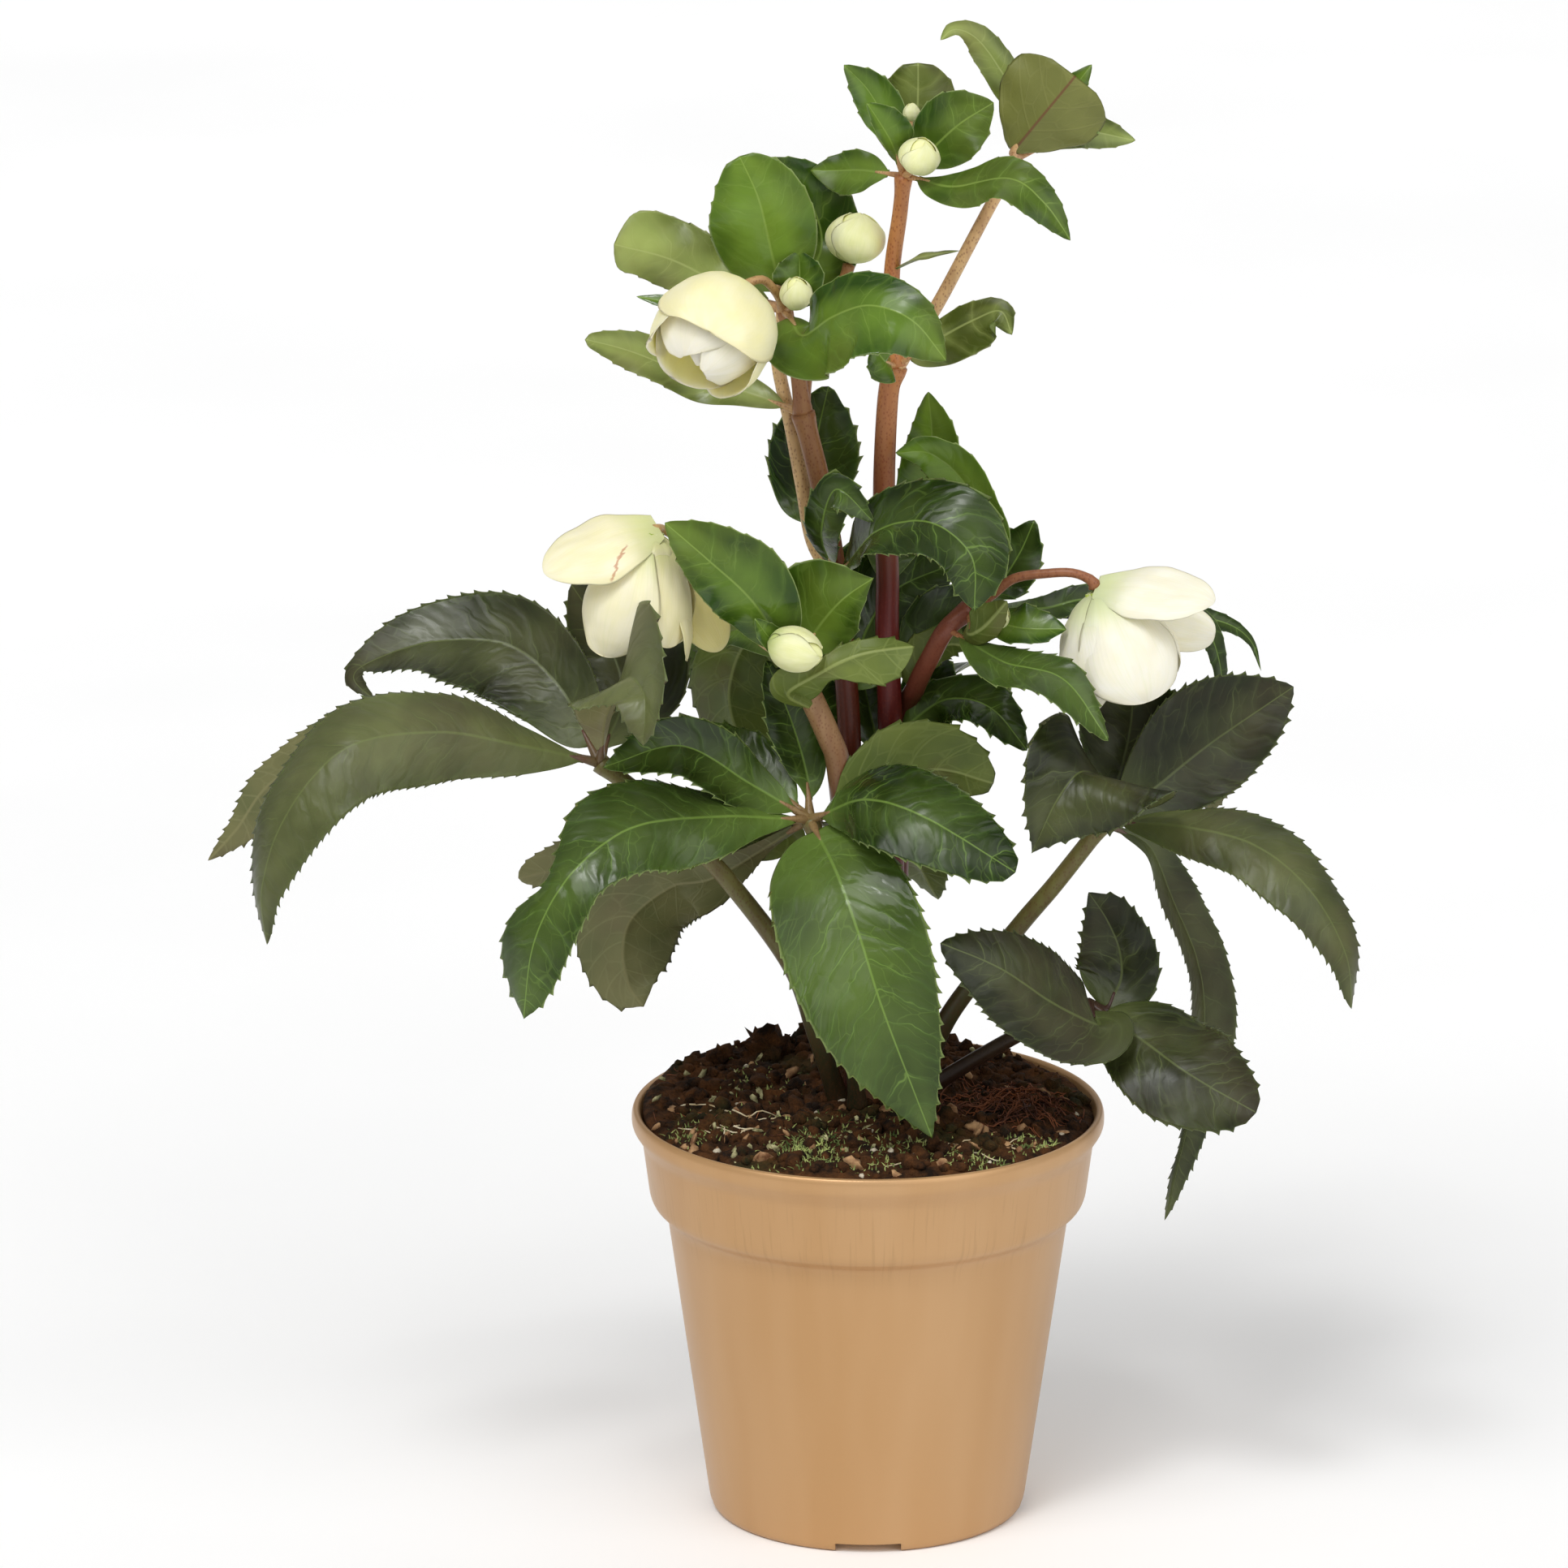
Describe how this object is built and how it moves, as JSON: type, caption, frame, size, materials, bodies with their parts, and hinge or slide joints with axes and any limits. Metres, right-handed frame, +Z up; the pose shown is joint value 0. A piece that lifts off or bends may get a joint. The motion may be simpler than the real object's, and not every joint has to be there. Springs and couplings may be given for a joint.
{
  "type": "potted hellebore plant",
  "caption": "Leafy flowering perennial with nodding cup-shaped flowers, buds and toothed leaves on upright stems, growing in a round tapered pot.",
  "frame": {"origin": "middle of the pot's foot, on the surface it stands on", "axes": "+Z up along the pot's axis, -Y towards the plant's front, +X to the right seen from the front"},
  "size_m": [0.3122, 0.131, 0.4134],
  "materials": {
    "pot_plastic": "satin",
    "peat": "matte",
    "stem_red": "satin",
    "stem_brown": "satin",
    "stalk_olive": "satin",
    "stalk_dark": "satin",
    "leaf_young": "satin",
    "leaf_collar": "satin",
    "leaf_old": "satin",
    "petal_cream": "satin",
    "bud_green": "satin"
  },
  "bodies": {
    "root": {"pot": "pot_plastic", "soil": "peat", "tall_stem_right": "stem_red", "tall_stem_left": "stem_red", "middle_stem": "stem_brown", "short_stem_right": "stem_brown", "left_leaf_stalk": "stalk_olive", "right_leaf_stalk": "stalk_olive", "low_leaf_stalk": "stalk_dark", "collar_leaf_stalk": "stalk_olive", "left_leaf_upper": "leaf_old", "left_leaf_front": "leaf_old", "left_leaf_rear": "leaf_old", "left_leaf_curled": "leaf_old", "left_leaf_inner": "leaf_old", "right_leaf_folded": "leaf_old", "right_leaf_broad": "leaf_old", "right_leaf_outer": "leaf_old", "right_leaf_hanging": "leaf_old", "right_leaf_back": "leaf_old", "low_leaf_broad": "leaf_old", "low_leaf_upright": "leaf_old", "low_leaf_outer": "leaf_old", "collar_leaf_left": "leaf_collar", "collar_leaf_front": "leaf_collar", "collar_leaf_right": "leaf_collar", "collar_leaf_upper_left": "leaf_collar", "collar_leaf_rear_left": "leaf_collar", "collar_leaf_rear_right": "leaf_collar", "middle_leaf_left": "leaf_young", "middle_leaf_up": "leaf_young", "stem_leaf_curled": "leaf_young", "arching_leaf_front": "leaf_young", "pale_leaf_arching": "leaf_young", "pale_leaf_tall": "leaf_young", "arching_leaf_right": "leaf_young", "dark_leaf_behind": "leaf_old", "upper_leaf_upright": "leaf_young", "upper_leaf_behind": "leaf_young", "upper_leaf_front": "leaf_young", "upper_leaf_left": "leaf_young", "lower_bract_left": "leaf_young", "top_leaf_right": "leaf_young", "top_leaf_rear_left": "leaf_young", "top_leaf_rear": "leaf_young", "top_leaf_drooping": "leaf_young", "crown_bract_cupped": "leaf_young", "crown_bract_curled": "leaf_young", "fork_leaf_right": "leaf_young", "bud_upper_round": "bud_green", "bud_upper_small": "bud_green", "bud_top": "bud_green", "bud_middle": "bud_green", "bud_side": "bud_green", "upper_flower_cup": "petal_cream", "upper_flower_outer_petal": "petal_cream", "left_flower_cup": "petal_cream", "left_flower_outer_petal": "petal_cream", "right_flower_cup": "petal_cream", "right_flower_outer_petal": "petal_cream"}
  },
  "joints": []
}
